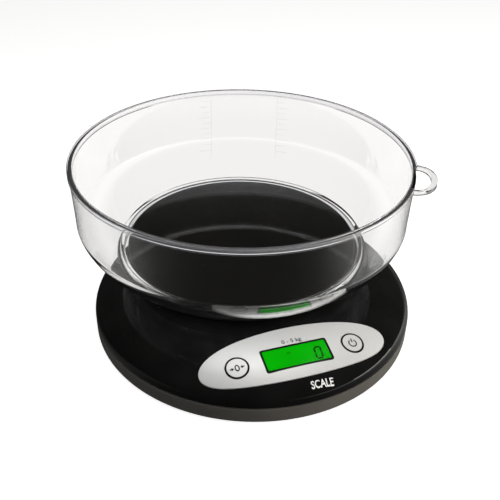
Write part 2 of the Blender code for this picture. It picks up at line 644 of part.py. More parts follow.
def make_batteries():
    half_width = 5 * MM
    for i, (y, side) in enumerate(zip(BATTERY_Y, (1, -1)), 1):
        battery = turned(f"battery_{i}", battery_profile(), MAT["battery"], ROOT, (0, y, BATTERY_Z),
                         SMALL_STEPS)
        battery.rotation_euler.y = side * math.pi / 2
        tube(f"battery_spring_{i}", spring_coil(y, side), SPRING_WIRE_R, MAT["steel"], ROOT)
        blocks(f"battery_contact_{i}", [((CONTACT_X[0], y - half_width, CONTACT_Z[0]),
                                         (CONTACT_X[1], y + half_width, CONTACT_Z[1]))], MAT["steel"], ROOT)
    blocks("battery_link", [((-CONTACT_X[1], BATTERY_Y[0] - half_width, CONTACT_Z[0]),
                             (-CONTACT_X[0], BATTERY_Y[1] + half_width, CONTACT_Z[1]))], MAT["steel"], ROOT)


def make_door():
    door = blocks("battery_door", [centred(DOOR_SIZE[:2], BOTTOM_Z, BOTTOM_Z + DOOR_SIZE[2], y=DOOR_Y)],
                  MAT["satin_black"], ROOT)
    cut(door, rods("door_grip", [(0, DOOR_Y + 7 * MM)], 6 * MM, MM, BOTTOM_Z + 0.6 * MM, parent=ROOT))


def make_wires():
    """The cable from the load cell and the two battery leads, each up to the board; points in mm."""
    over_bay = [(30, 38.5, 20), (30, 49.5, 20)]
    cell = [(-4, -5.6, 24.5), (-4, -9.5, 23.4), (-6, -16, 17), (-12, -34, 9), (-20, -54, 9),
            (-25, -68, 14), (-25, -73.2, 20.6)]
    red = [(27.3, 39.3, 16.4), (27.6, 39.3, 18.6), over_bay[0], (35, 36, 15), (41, 30, 8.5),
           (48, 20, 7.2), (52, 0, 6.6), (46, -36, 7), (32, -62, 11), (26, -73.2, 20.6)]
    black = [(27.3, 50.7, 16.4), (27.6, 50.7, 18.6), over_bay[1], (36, 45, 15), (44, 36, 8.5),
             (51, 25, 7.2), (55.5, 0, 6.6), (49.5, -38, 7), (36, -63, 11), (30, -73.2, 20.6)]
    for name, route, radius, mat in (("load_cell_cable", cell, 1.3, "white"),
                                     ("battery_lead_red", red, 0.7, "red"),
                                     ("battery_lead_black", black, 0.7, "rubber")):
        points = smooth_route([[value * MM for value in point] for point in route], 8 * MM)
        tube(name, points, radius * MM, MAT[mat], ROOT)


def make_feet():
    top, edge = BOTTOM_Z - GAP, 0.5 * MM
    for i, (x, y) in enumerate(FOOT_PLACES, 1):
        turned(f"foot_{i}", [(0, top), (FOOT_R, top), (FOOT_R, edge), (FOOT_R - edge, 0), (0, 0)],
               MAT["rubber"], ROOT, (x, y, 0), SMALL_STEPS)


def make_housing_screws():
    screws("housing_screw", HOUSING_SCREWS, ROOT, (*SCREW_HEAD, SCREW_HEAD_Z), (1.5 * MM, 13 * MM))
    screws("carrier_screw", carrier_places(), ROOT, (*SCREW_HEAD, CARRIER_Z - GAP), (1.5 * MM, 18 * MM))


clear_scene()
PARTS = collection(COLLECTION)
CUTTERS = collection("cutters")
MAT = {
    "gloss_black": material("gloss_black", (0.012, 0.012, 0.012), 0.08),
    "satin_black": material("satin_black", (0.035, 0.034, 0.032), 0.4),
    "silver": material("silver", (0.62, 0.62, 0.62), 0.32, 0.35),
    "clear": material("clear", (0.97, 0.97, 0.98), 0.02, 0.0, 1.0),
    "green": material("green", (0.0, 0.55, 0.02), 0.2),
    "board_green": material("board_green", (0.02, 0.2, 0.06), 0.5),
    "white": material("white", (0.85, 0.85, 0.83), 0.5),
    "rubber": material("rubber", (0.02, 0.02, 0.02), 0.8),
    "steel": material("steel", (0.6, 0.6, 0.6), 0.3, 1.0),
    "dark_metal": material("dark_metal", (0.1, 0.1, 0.1), 0.4, 0.5),
    "aluminium": material("aluminium", (0.75, 0.76, 0.77), 0.35, 1.0),
    "battery": material("battery", (0.1, 0.1, 0.3), 0.3, 0.6),
    "red": material("red", (0.6, 0.02, 0.02), 0.5),
}
KEY_PLACES = [(-KEY_X, KEY_Y), (KEY_X, KEY_Y)]

ROOT = bpy.data.objects.new("scale_root", None)
ROOT.location = ROOT_PLACE
bpy.context.scene.collection.objects.link(ROOT)
PANEL = bpy.data.objects.new("panel_frame", None)
PANEL.parent = ROOT
PANEL.location = (0, BASE_Y - DISPLAY_R, SEAM_Z + 16.9 * MM)
PANEL.rotation_euler.x = PANEL_TILT
bpy.context.scene.collection.objects.link(PANEL)

make_lower_housing()
make_upper_housing()
make_platform()
make_bowl()
make_carrier()
make_control_panel()
make_keys()
make_switches()
make_display()
make_board()
make_load_cell()
make_batteries()
make_door()
make_wires()
make_feet()
make_housing_screws()
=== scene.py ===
"""Looks of the kitchen scale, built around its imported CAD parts.

The fine meshes below repeat the shapes of the CAD pieces they stand for, turned and cut at a
higher resolution, and add what is too small for the CAD: rounded edges, rings, marks and
segments.  Lengths are metres; the bowl's axis, the base's axis and the heights come from the
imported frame.
"""
import json
import math

import bmesh
import bpy
from mathutils import Matrix, Vector


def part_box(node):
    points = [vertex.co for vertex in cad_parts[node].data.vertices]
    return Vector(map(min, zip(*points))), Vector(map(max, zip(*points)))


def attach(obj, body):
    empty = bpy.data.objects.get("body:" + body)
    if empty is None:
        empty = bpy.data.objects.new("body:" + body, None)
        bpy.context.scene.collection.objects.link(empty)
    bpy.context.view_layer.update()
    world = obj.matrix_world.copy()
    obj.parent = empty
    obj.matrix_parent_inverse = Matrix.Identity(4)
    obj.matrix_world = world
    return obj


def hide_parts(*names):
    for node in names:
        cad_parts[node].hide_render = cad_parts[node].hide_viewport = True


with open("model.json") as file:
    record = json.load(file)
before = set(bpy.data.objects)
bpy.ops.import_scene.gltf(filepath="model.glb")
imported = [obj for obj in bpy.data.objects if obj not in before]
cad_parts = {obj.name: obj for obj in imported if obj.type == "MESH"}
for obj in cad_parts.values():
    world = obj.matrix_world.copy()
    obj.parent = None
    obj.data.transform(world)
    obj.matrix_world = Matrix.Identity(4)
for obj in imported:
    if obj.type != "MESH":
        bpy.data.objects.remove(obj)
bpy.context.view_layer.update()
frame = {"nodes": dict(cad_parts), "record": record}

MM = 0.001
MERGE = 0.00002                                  # points nearer than this become one
STEPS = 192                                      # round a turned piece
BOWL_STEPS = 256

# camera
CAMERA_PLACE = (-0.13423, -0.39756, 0.32733)
CAMERA_AZIMUTH = -19.04
CAMERA_ELEVATION = 34.15
CAMERA_ROLL = 1.23
CAMERA_LENS = 51.36
SENSOR = 36.0

# studio
FLOOR_HALF = 6.0
FRONT_AZIMUTH = math.radians(-108.66)            # the camera's side; the floor gives the least light there
ROOM_LIGHT = (0.03, 0.029, 0.027, 1)
LIGHT_AIM = Vector((0, 0, 50 * MM))


def middle(node):
    low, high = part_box(node)
    return (low + high) / 2


def axis_of(node):
    """Where a round node's upright axis meets the table."""
    centre = middle(node)
    return Vector((centre.x, centre.y, 0))


BOWL_AXIS = axis_of("weighing_platform")
BASE_AXIS = axis_of("lower_housing")

# base
BASE_R = (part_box("lower_housing")[1].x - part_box("lower_housing")[0].x) / 2
BOTTOM_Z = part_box("lower_housing")[0].z
SEAM_Z = 14 * MM
SHELL_GAP = 0.3 * MM
WALL = 2.4 * MM
GROOVE_DEPTH = 0.9 * MM
GROOVE_HEIGHT = 1.0 * MM
BASE_CORNER = 1.4 * MM
DOME_HEIGHT = 20 * MM
DOME_POWER = 4.5
DOME_EDGE_POWER = 2.2
COLLAR_R = 72 * MM
COLLAR_TOP_Z = 38 * MM
HOUSING_SCREWS = [(-80 * MM, 5 * MM), (80 * MM, 5 * MM), (-70 * MM, -75 * MM), (70 * MM, -75 * MM)]
HOUSING_POST_R = 4.2 * MM
HOUSING_BOSS_R = 5.4 * MM
POST_LOW_Z = 9 * MM
POST_HIGH_Z = 28.6 * MM
SCREW_HOLE_R = 1.8 * MM
SCREW_HEAD_R = 3.6 * MM
SCREW_SEAT_Z = 5.6 * MM
PAD_SIZE = (26 * MM, 20 * MM)                    # pad under the fixed end of the load cell
PAD_MIDDLE_X = -27 * MM
PAD_TOP_Z = 7.5 * MM
CELL_SCREWS = [(-20 * MM, 0), (-35 * MM, 0)]
CELL_HOLE_R = 2.3 * MM
CELL_HEAD_R = 4.3 * MM
CELL_SEAT_Z = 5 * MM
DOOR_Y = 45 * MM
BAY_OUTSIDE = (61 * MM, 30 * MM)
BAY_INSIDE = (57 * MM, 26 * MM)
BAY_TOP_Z = 17 * MM

# platform
PLATFORM_R = (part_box("weighing_platform")[1].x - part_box("weighing_platform")[0].x) / 2
PLATFORM_TOP_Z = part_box("weighing_platform")[1].z
PLATFORM_SKIRT_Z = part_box("weighing_platform")[0].z
PLATFORM_EDGE = 1.6 * MM
CARRIER_REACH = 44 * MM
POST_R = 4.5 * MM

# bowl
RIM_R = 115 * MM
RIM_TOP_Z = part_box("bowl")[1].z
LIP_HEIGHT = 3.5 * MM
LIP_WIDTH = 3.3 * MM
BOWL_WALL = 2.6 * MM
BOWL_FLOOR = 2.5 * MM
BOWL_SEAT_Z = PLATFORM_TOP_Z + 0.3 * MM
SIDE_TOP_R = 114.3 * MM
SIDE_LOW_R = 113.2 * MM
CURVE_TOP_Z = 73.9 * MM
CURVE_LOW_R = 76.3 * MM
CURVE_LOW_Z = 39 * MM
CURVE_POWER = 1.46
CURVE_END = math.radians(63)
FOOT_RING_OUT_R = 86.6 * MM
FOOT_RING_IN_R = 83.2 * MM
FOOT_RING_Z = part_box("bowl")[0].z
STEP_R = 86 * MM
HOOK_ANGLE = math.radians(-33)
HOOK_HALF_WIDTH = 18.3 * MM
HOOK_REACH = 12.6 * MM
HOOK_BAR = 3.9 * MM                              # width of its bar at the tip
HOOK_SIDE_BAR = 2.7 * MM                         # and at the sides
HOOK_THICK = 2.8 * MM
HOOK_HOLE_X = 112.5 * MM
HOOK_ROOT_X = RIM_R - 3.1 * MM                   # inside the lip, clear of the hole's straight side

# graduations on the bowl, placed round its axis
SCALE_AZIMUTH = math.radians(71.5)
SCALE_HALF_GAP = 26.7 * MM
SCALE_LOW_Z = 60 * MM
SCALE_RELIEF = 0.06 * MM
LINE_WIDTH = 0.35 * MM
TICK_WIDTH = 0.24 * MM
TICK_GAP = 0.8 * MM
TICK_LENGTHS = (6 * MM, 9 * MM)                  # by turns
TICKS = 10

# control panel, in a tilted frame at the middle of the display
PANEL_TILT = math.radians(11)
DISPLAY_R = 85.2 * MM
DISPLAY_Z = 30.9 * MM
PANEL_HALF = (61 * MM, 18.75 * MM)
PANEL_BACK = 3.75 * MM
PANEL_PROUD = 0.2 * MM
PANEL_THICK = 1.2 * MM
PANEL_GAP = 0.3 * MM
WINDOW = (43.2 * MM, 16.4 * MM)
WINDOW_OPENING = (49 * MM, 21 * MM)              # in the shell, under the panel
KEY_X = 37.9 * MM
KEY_Y = 0.9 * MM
KEY_R = 7.3 * MM
KEY_PROUD = 0.35 * MM
KEY_BOTTOM = -6 * MM
KEY_LUG = (5 * MM, 4.4 * MM)
HOUSING_HOLE_R = KEY_R + 0.5 * MM
PANEL_HOLE_R = KEY_R + 0.25 * MM
KEY_PLACES = [(-KEY_X, KEY_Y), (KEY_X, KEY_Y)]
RING_IN_R = KEY_R - 1.0 * MM                     # dark ring round the edge of a key
RING_OUT_R = KEY_R + 0.1 * MM
BOARD_SCREWS = [(-29 * MM, 11 * MM), (29 * MM, 11 * MM)]
BOARD_BOSS_R = 3 * MM
BOARD_HOLE_R = 1.4 * MM
LCD_TOP = -2.7 * MM
WINDOW_TOP = -0.5 * MM
BORDER = 1.35 * MM
DIGIT = (4.0 * MM, 8.4 * MM)                     # between the middles of its bars
DIGIT_PLACE = (14.5 * MM, -0.3 * MM)
BAR_WIDTH = 1.1 * MM
BAR_GAP = 0.3 * MM
SLANT = 0.08
SIGN_PLACE = (-3.8 * MM, 3.3 * MM)
INK_TOP = 0.06 * MM                              # over the surface it is printed on
INK_DEPTH = 0.06 * MM
INK_STEP = 0.8 * MM                              # between the cuts that let it bend
SEGMENT_LOW, SEGMENT_HIGH = LCD_TOP + 0.02 * MM, LCD_TOP + 0.06 * MM

PANEL_FRAME = (Matrix.Translation((BASE_AXIS.x, BASE_AXIS.y - DISPLAY_R, DISPLAY_Z))
               @ Matrix.Rotation(PANEL_TILT, 4, "X"))
AT_BASE = Matrix.Translation(BASE_AXIS)
AT_BOWL = Matrix.Translation(BOWL_AXIS)


# ---------------------------------------------------------------- materials

def math_node(tree, operation, a, b):
    node = tree.nodes.new("ShaderNodeMath")
    node.operation = operation
    tree.links.new(a, node.inputs[0])
    tree.links.new(b, node.inputs[1])
    return node.outputs["Value"]


def map_range(tree, value, source, target=(0.0, 1.0), smooth=True):
    """Map one range of a value onto another, held at both ends."""
    node = tree.nodes.new("ShaderNodeMapRange")
    node.interpolation_type = "SMOOTHSTEP" if smooth else "LINEAR"
    node.inputs["From Min"].default_value, node.inputs["From Max"].default_value = source
    node.inputs["To Min"].default_value, node.inputs["To Max"].default_value = target
    tree.links.new(value, node.inputs["Value"])
    return node.outputs["Result"]


class Look:
    """A Principled material and the few nodes that vary it over the surface."""

    def __init__(self, name, color, roughness, metallic=0.0, **sockets):
        self.material = bpy.data.materials.new(name)
        self.material.use_nodes = True
        self.tree = self.material.node_tree
        self.nodes = self.tree.nodes
        self.links = self.tree.links
        self.shader = self.nodes["Principled BSDF"]
        self.shader.inputs["Base Color"].default_value = (*color, 1)
        self.shader.inputs["Roughness"].default_value = roughness
        self.shader.inputs["Metallic"].default_value = metallic
        for socket, value in sockets.items():
            self.shader.inputs[socket.replace("_", " ")].default_value = value
        self.place = self.nodes.new("ShaderNodeTexCoord").outputs["Object"]

    def noise(self, size, detail=3.0, stretch=(1, 1, 1)):
        """Noise with features of about the given size, in metres."""
        mapping = self.nodes.new("ShaderNodeMapping")
        mapping.inputs["Scale"].default_value = stretch
        texture = self.nodes.new("ShaderNodeTexNoise")
        texture.inputs["Scale"].default_value = 1 / size
        texture.inputs["Detail"].default_value = detail
        self.links.new(self.place, mapping.inputs["Vector"])
        self.links.new(mapping.outputs["Vector"], texture.inputs["Vector"])
        return texture.outputs["Fac"]

    def cells(self, size):
        texture = self.nodes.new("ShaderNodeTexVoronoi")
        texture.inputs["Scale"].default_value = 1 / size
        self.links.new(self.place, texture.inputs["Vector"])
        return texture.outputs["Color"]

    def color(self, fac, dark, light, low=0.3, high=0.7):
        ramp = self.nodes.new("ShaderNodeValToRGB")
        ramp.color_ramp.elements[0].position = low
        ramp.color_ramp.elements[0].color = (*dark, 1)
        ramp.color_ramp.elements[1].position = high
        ramp.color_ramp.elements[1].color = (*light, 1)
        self.links.new(fac, ramp.inputs["Fac"])
        self.links.new(ramp.outputs["Color"], self.shader.inputs["Base Color"])
        return self

    def rough(self, fac, low, high):
        spread = map_range(self.tree, fac, (0.3, 0.7), (low, high), smooth=False)
        self.links.new(spread, self.shader.inputs["Roughness"])
        return self

    def bump(self, fac, height, strength=0.3):
        """Raise the surface by up to height, in metres."""
        node = self.nodes.new("ShaderNodeBump")
        node.inputs["Strength"].default_value = strength
        node.inputs["Distance"].default_value = height
        self.links.new(fac, node.inputs["Height"])
        self.links.new(node.outputs["Normal"], self.shader.inputs["Normal"])
        return self


def moulded(name, dark, light, roughness, grain, height, **sockets):
    """Moulded plastic: slight tone change, uneven gloss and a fine grain."""
    look = Look(name, light, roughness[0], **sockets)
    look.color(look.noise(30 * MM), dark, light)
    look.rough(look.noise(8 * MM, 5), *roughness)
    look.bump(look.noise(grain, 2), height)
    return look.material


def clear_plastic(name, tint, ior, roughness, clearness=1.0):
    look = Look(name, tint, roughness, Transmission_Weight=clearness, IOR=ior)
    look.color(look.noise(40 * MM, 2), [c * 0.992 for c in tint], tint)
    look.rough(look.noise(15 * MM, 6), roughness * 0.5, roughness * 1.5)
    look.bump(look.noise(25 * MM, 1), 0.02 * MM, 0.15)
    return look.material


def metal(name, dark, light, roughness, stretch=(1, 1, 1)):
    look = Look(name, light, roughness[0], 1.0)
    grain = look.noise(0.6 * MM, 3, stretch)
    look.color(grain, dark, light)
    look.rough(grain, *roughness)
    look.bump(grain, 0.01 * MM, 0.2)
    return look.material


def silver_paint():
    look = Look("silver_paint", (0.54, 0.54, 0.53), 0.3, 0.15)
    look.color(look.cells(0.12 * MM), (0.46, 0.46, 0.45), (0.59, 0.59, 0.58), 0.1, 0.9)
    look.rough(look.noise(6 * MM, 4), 0.36, 0.44)
    look.bump(look.noise(0.5 * MM, 2), 0.01 * MM, 0.15)
    return look.material


def backlit_green():
    look = Look("backlit_green", (0.0, 0.3, 0.0), 0.5, Emission_Strength=0.85, Specular_IOR_Level=0.05)
    look.color(look.noise(12 * MM, 1), (0.0, 0.1, 0.0), (0.0, 0.13, 0.0))
    glow = look.nodes.new("ShaderNodeValToRGB")
    glow.color_ramp.elements[0].color = (0.0, 0.44, 0.0, 1)
    glow.color_ramp.elements[1].color = (0.0, 0.56, 0.0, 1)
    look.links.new(look.noise(20 * MM, 1), glow.inputs["Fac"])
    look.links.new(glow.outputs["Color"], look.shader.inputs["Emission Color"])
    look.bump(look.noise(2 * MM, 2), 0.005 * MM, 0.1)
    return look.material


def board_mask():
    """Green solder mask with a lighter net of tracks."""
    look = Look("board_mask", (0.02, 0.2, 0.06), 0.35)
    bricks = look.nodes.new("ShaderNodeTexBrick")
    bricks.inputs["Scale"].default_value = 1 / (9 * MM)
    bricks.inputs["Mortar Size"].default_value = 0.03
    bricks.inputs["Color1"].default_value = (0.015, 0.16, 0.05, 1)
    bricks.inputs["Color2"].default_value = (0.02, 0.2, 0.06, 1)
    bricks.inputs["Mortar"].default_value = (0.05, 0.32, 0.1, 1)
    look.links.new(look.place, bricks.inputs["Vector"])
    look.links.new(bricks.outputs["Color"], look.shader.inputs["Base Color"])
    look.bump(bricks.outputs["Fac"], 0.03 * MM)
    look.rough(look.noise(3 * MM), 0.3, 0.42)
    return look.material


def cell_sleeve():
    """Printed sleeve of a battery: two tones parted along its length."""
    look = Look("cell_sleeve", (0.1, 0.1, 0.3), 0.3, 0.5)
    stripes = look.nodes.new("ShaderNodeTexWave")
    stripes.inputs["Scale"].default_value = 12
    stripes.inputs["Distortion"].default_value = 0.2
    look.links.new(look.place, stripes.inputs["Vector"])
    look.color(stripes.outputs["Fac"], (0.03, 0.03, 0.12), (0.5, 0.36, 0.12), 0.45, 0.55)
    look.rough(look.noise(2 * MM), 0.22, 0.34)
    look.bump(look.noise(1 * MM), 0.01 * MM, 0.2)
    return look.material


LOOKS = {
    "clear_plastic": clear_plastic("bowl_clear", (0.985, 0.988, 0.992), 1.57, 0.01),
    # painted shade: the lip's faces get a hazier, violet-grey clear plastic that darkens the rim's band,
    # though the bowl is one clear plastic
    "bowl_lip": clear_plastic("bowl_lip", (0.95, 0.95, 0.98), 1.57, 0.02, 0.91),
    "window_clear": clear_plastic("window_clear", (0.97, 0.98, 0.97), 1.49, 0.02),
    "gloss_black": moulded("gloss_black", (0.003, 0.003, 0.003), (0.006, 0.006, 0.006), (0.05, 0.11),
                           1.5 * MM, 0.008 * MM, Specular_IOR_Level=0.45),
    "platform_black": moulded("platform_black", (0.002, 0.002, 0.0017), (0.004, 0.004, 0.0034), (0.3, 0.42),
                              0.35 * MM, 0.02 * MM, Specular_IOR_Level=0.18),
    "satin_black": moulded("satin_black", (0.096, 0.09, 0.081), (0.11, 0.103, 0.093), (0.38, 0.5),
                           0.3 * MM, 0.015 * MM),
    "silver_panel": silver_paint(),
    "display_green": backlit_green(),
    "print_black": moulded("print_black", (0.004, 0.004, 0.004), (0.008, 0.008, 0.008), (0.4, 0.5),
                           0.2 * MM, 0.004 * MM),
    "segment": moulded("segment", (0.0, 0.012, 0.0), (0.0, 0.02, 0.0), (0.3, 0.4), 0.3 * MM, 0.002 * MM,
                       Specular_IOR_Level=0.05),
    "white_plastic": moulded("white_plastic", (0.78, 0.78, 0.75), (0.86, 0.86, 0.83), (0.4, 0.55),
                             0.4 * MM, 0.02 * MM),
    "print_white": moulded("print_white", (0.8, 0.8, 0.79), (0.86, 0.86, 0.85), (0.4, 0.5),
                           0.2 * MM, 0.004 * MM),
    "board_green": board_mask(),
    "dark_metal": metal("dark_metal", (0.07, 0.07, 0.07), (0.13, 0.13, 0.13), (0.3, 0.42)),
    "aluminium": metal("aluminium", (0.62, 0.63, 0.64), (0.8, 0.81, 0.82), (0.28, 0.42), (0.08, 1, 1)),
    "steel": metal("steel", (0.48, 0.48, 0.47), (0.66, 0.66, 0.65), (0.2, 0.34)),
    "battery_label": cell_sleeve(),
    "black_rubber": moulded("black_rubber", (0.012, 0.012, 0.012), (0.022, 0.022, 0.022), (0.65, 0.8),
                            0.3 * MM, 0.04 * MM),
    "red_rubber": moulded("red_rubber", (0.45, 0.012, 0.012), (0.6, 0.02, 0.02), (0.4, 0.5),
                          0.3 * MM, 0.02 * MM),
    "foot_rubber": moulded("foot_rubber", (0.014, 0.014, 0.014), (0.025, 0.024, 0.023), (0.7, 0.85),
                           0.25 * MM, 0.05 * MM),
    "frosted": clear_plastic("frosted", (0.99, 0.99, 0.98), 1.57, 0.12, 0.97),
}


def dress_cad_nodes():
    for part in frame["record"]["subparts"]:
        node = frame["nodes"][part["node"]]
        node.data.materials.clear()
        node.data.materials.append(LOOKS[part["material_slot"]])
    frame["nodes"]["lcd_window"].visible_shadow = False     # a clear window lets the light through


# ---------------------------------------------------------------- mesh tools

def link(name, mesh):
    obj = bpy.data.objects.new(name, mesh)
    bpy.context.scene.collection.objects.link(obj)
    return obj


def from_bmesh(name, bm, matrix=Matrix.Identity(4)):
    bmesh.ops.remove_doubles(bm, verts=bm.verts, dist=MERGE)
    bmesh.ops.recalc_face_normals(bm, faces=bm.faces)
    mesh = bpy.data.meshes.new(name)
    bm.to_mesh(mesh)
    bm.free()
    mesh.transform(matrix)
    return link(name, mesh)


def evaluated_mesh(obj):
    bpy.context.view_layer.update()
    depsgraph = bpy.context.evaluated_depsgraph_get()
    return bpy.data.meshes.new_from_object(obj.evaluated_get(depsgraph))


def from_curve(name, curve, matrix):
    flat = link(name + "_curve", curve)
    mesh = evaluated_mesh(flat)
    bpy.data.objects.remove(flat)
    bm = bmesh.new()
    bm.from_mesh(mesh)
    return from_bmesh(name, bm, matrix)


def turned(name, profile, matrix=AT_BASE, steps=STEPS):
    """Turn a profile of (radius, height) points about the upright axis of a frame."""
    bm = bmesh.new()
    verts = [bm.verts.new((r, 0, z)) for r, z in profile]
    edges = [bm.edges.new(pair) for pair in zip(verts, verts[1:])]
    bmesh.ops.spin(bm, geom=verts + edges, cent=(0, 0, 0), axis=(0, 0, 1), angle=2 * math.pi,
                   steps=steps, use_merge=True)
    return from_bmesh(name, bm, matrix)


def outline(name, rings, z0, z1, matrix):
    """A flat plate from closed outlines; inner outlines are holes."""
    curve = bpy.data.curves.new(name, "CURVE")
    curve.dimensions = "2D"
    curve.fill_mode = "BOTH"
    curve.extrude = (z1 - z0) / 2
    for ring in rings:
        spline = curve.splines.new("POLY")
        spline.points.add(len(ring) - 1)
        for point, (x, y) in zip(spline.points, ring):
            point.co = (x, y, 0, 1)
        spline.use_cyclic_u = True
    return from_curve(name, curve, matrix @ Matrix.Translation((0, 0, (z0 + z1) / 2)))


def rods(name, places, radius, z0, z1, matrix, sides=32):
    bm = bmesh.new()
    for x, y in places:
        shift = Matrix.Translation((x, y, (z0 + z1) / 2))
        bmesh.ops.create_cone(bm, cap_ends=True, segments=sides, radius1=radius, radius2=radius,
                              depth=z1 - z0, matrix=shift)
    return from_bmesh(name, bm, matrix)


def block(name, size, z0, z1, matrix, x=0.0, y=0.0):
    bm = bmesh.new()
    place = Matrix.Translation((x, y, (z0 + z1) / 2)) @ Matrix.Diagonal((size[0], size[1], z1 - z0, 1))
    bmesh.ops.create_cube(bm, size=1, matrix=place)
    return from_bmesh(name, bm, matrix)


def combined(obj, operation, *others):
    """Apply boolean steps with other solids, which are used up."""
    for other in others:
        boolean = obj.modifiers.new("boolean", "BOOLEAN")
        boolean.operation = operation
        boolean.object = other
    mesh = evaluated_mesh(obj)
    obj.modifiers.clear()
    obj.data = mesh
    for other in others:
        bpy.data.objects.remove(other)
    return obj


def rounded_edges(obj, width, segments=3, angle=40):
    modifier = obj.modifiers.new("edges", "BEVEL")
    modifier.width = width
    modifier.segments = segments
    modifier.limit_method = "ANGLE"
    modifier.angle_limit = math.radians(angle)
    obj.data = evaluated_mesh(obj)
    obj.modifiers.clear()
    return obj


def dress(obj, look, body, replaces=(), angle=32):
    """Finish a piece: smooth shading, material and body; the CAD pieces it replaces are hidden."""
    obj.data.materials.clear()
    obj.data.materials.append(LOOKS[look])
    obj.data.shade_smooth()
    obj.data.set_sharp_from_angle(angle=math.radians(angle))
    if replaces:
        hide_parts(*replaces)
    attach(obj, body)
    return obj


def filleted(points, radius, count=5):
    """A profile whose inner corners are rounded: each point is (r, z) or (r, z, own radius)."""
    result = [Vector(points[0][:2])]
    for before, corner, after in zip(points, points[1:], points[2:]):
        size = corner[2] if len(corner) > 2 else radius
        a, b, c = (Vector(p[:2]) for p in (before, corner, after))
        into, out = (a - b), (c - b)
        turn = into.angle(out, 0)
        if size <= 0 or turn > math.radians(178):
            result.append(b)
            continue
        reach = min(size / math.tan(turn / 2), into.length * 0.49, out.length * 0.49)
        start, end = b + into.normalized() * reach, b + out.normalized() * reach
        for i in range(count + 1):
            t = i / count
            result.append((1 - t) ** 2 * start + 2 * t * (1 - t) * b + t ** 2 * end)
    result.append(Vector(points[-1][:2]))
    return [tuple(p) for p in result]


def ellipse(half_x, half_y, count=160):
    angles = [2 * math.pi * i / count for i in range(count)]
    return [(half_x * math.cos(a), half_y * math.sin(a)) for a in angles]


def rounded_rectangle(width, height, radius, count=8, x=0.0, y=0.0):
    points = []
    for corner, (sx, sy) in enumerate([(1, 1), (-1, 1), (-1, -1), (1, -1)]):
        for i in range(count + 1):
            angle = math.pi / 2 * (corner + i / count)
            points.append((x + sx * (width / 2 - radius) + radius * math.cos(angle),
                           y + sy * (height / 2 - radius) + radius * math.sin(angle)))
    return points


# ---------------------------------------------------------------- base

def dome_height(r):
    """Height of the upper shell's outside over its parting line."""
    return DOME_HEIGHT * (1 - (min(r, BASE_R) / BASE_R) ** DOME_POWER) ** (1 / DOME_EDGE_POWER)


def dome_slope(r, step=0.05 * MM):
    return (dome_height(r + step) - dome_height(r - step)) / (2 * step)


def dome_profile(offset=0.0, points=40):
    """Outside of the upper shell, crown to parting line, moved along its normal by an offset."""
    profile = []
    for i in range(points):
        r = BASE_R * math.sin(math.pi / 2 * i / (points - 1)) ** 0.8     # closest together at the edge
        if i == 0:
            normal = Vector((0, 1))
        elif i == points - 1:
            normal = Vector((1, 0))
        else:
            normal = Vector((-dome_slope(r), 1)).normalized()
        profile.append((r + offset * normal.x, SEAM_Z + dome_height(r) + offset * normal.y))
    return profile


def dome_solid(name, offset, bottom_z, edge=0.0):
    profile = dome_profile(offset)
    radius = profile[-1][0]
    if edge:
        profile[-1] = (radius, profile[-1][1] + edge * 0.2)
        for i in range(1, 5):
            angle = math.pi / 2 * i / 4
            profile.append((radius - edge + edge * math.cos(angle),
                            bottom_z + edge - edge * math.sin(angle)))
    else:
        profile.append((radius, bottom_z))
    profile.append((0, bottom_z))
    return turned(name, profile)


def panel_prism(name, grow):
    centre = Matrix.Translation((BASE_AXIS.x, BASE_AXIS.y - DISPLAY_R + PANEL_BACK, SEAM_Z + 15 * MM))
    return outline(name, [ellipse(PANEL_HALF[0] + grow, PANEL_HALF[1] + grow)], -20 * MM, 20 * MM, centre)


def carrier_places():
    angles = [math.radians(45 + 90 * i) for i in range(4)]
    return [(CARRIER_REACH * math.cos(a), CARRIER_REACH * math.sin(a)) for a in angles]


def make_upper_housing():
    shell = dome_solid("upper_housing_fine", 0.0, SEAM_Z, edge=0.5 * MM)
    top, low = COLLAR_TOP_Z, SEAM_Z + 6 * MM
    collar = turned("collar", filleted([(0, top), (COLLAR_R, top, 0.8 * MM), (COLLAR_R, low), (0, low)], 0),
                    AT_BOWL)
    room_top, room_low, room_r = top - WALL, SEAM_Z + 3 * MM, COLLAR_R - WALL
    room = turned("collar_room", [(0, room_top), (room_r, room_top), (room_r, room_low), (0, room_low)],
                  AT_BOWL)
    combined(shell, "UNION", collar)
    combined(shell, "DIFFERENCE", dome_solid("dome_room", -WALL, SEAM_Z - 5 * MM), room)
    combined(shell, "UNION",
             rods("side_posts", HOUSING_SCREWS[:2], HOUSING_POST_R, POST_LOW_Z, POST_HIGH_Z, AT_BOWL),
             rods("front_posts", HOUSING_SCREWS[2:], HOUSING_POST_R, POST_LOW_Z, POST_HIGH_Z, AT_BOWL),
             rods("board_bosses", BOARD_SCREWS, BOARD_BOSS_R, -9.3 * MM, -1.9 * MM, PANEL_FRAME))
    pocket = panel_prism("panel_pocket", PANEL_GAP)
    combined(pocket, "DIFFERENCE", dome_solid("pocket_floor", -PANEL_THICK - PANEL_PROUD / 2, SEAM_Z - MM))
    opening = block("display_opening", WINDOW_OPENING, -12 * MM, 5 * MM, PANEL_FRAME)
    keys = rods("key_holes", KEY_PLACES, HOUSING_HOLE_R, -9 * MM, 5 * MM, PANEL_FRAME, 64)
    posts = rods("carrier_holes", carrier_places(), POST_R + 2 * MM, 30 * MM, 45 * MM, AT_BOWL)
    combined(shell, "DIFFERENCE", pocket, opening, keys, posts,
             rods("post_bores", HOUSING_SCREWS, SCREW_HOLE_R, POST_LOW_Z - MM, 20 * MM, AT_BOWL, 24),
             rods("boss_bores_up", BOARD_SCREWS, BOARD_HOLE_R, -13 * MM, -5 * MM, PANEL_FRAME, 24))
    return dress(shell, "gloss_black", "base", replaces=["upper_housing"])


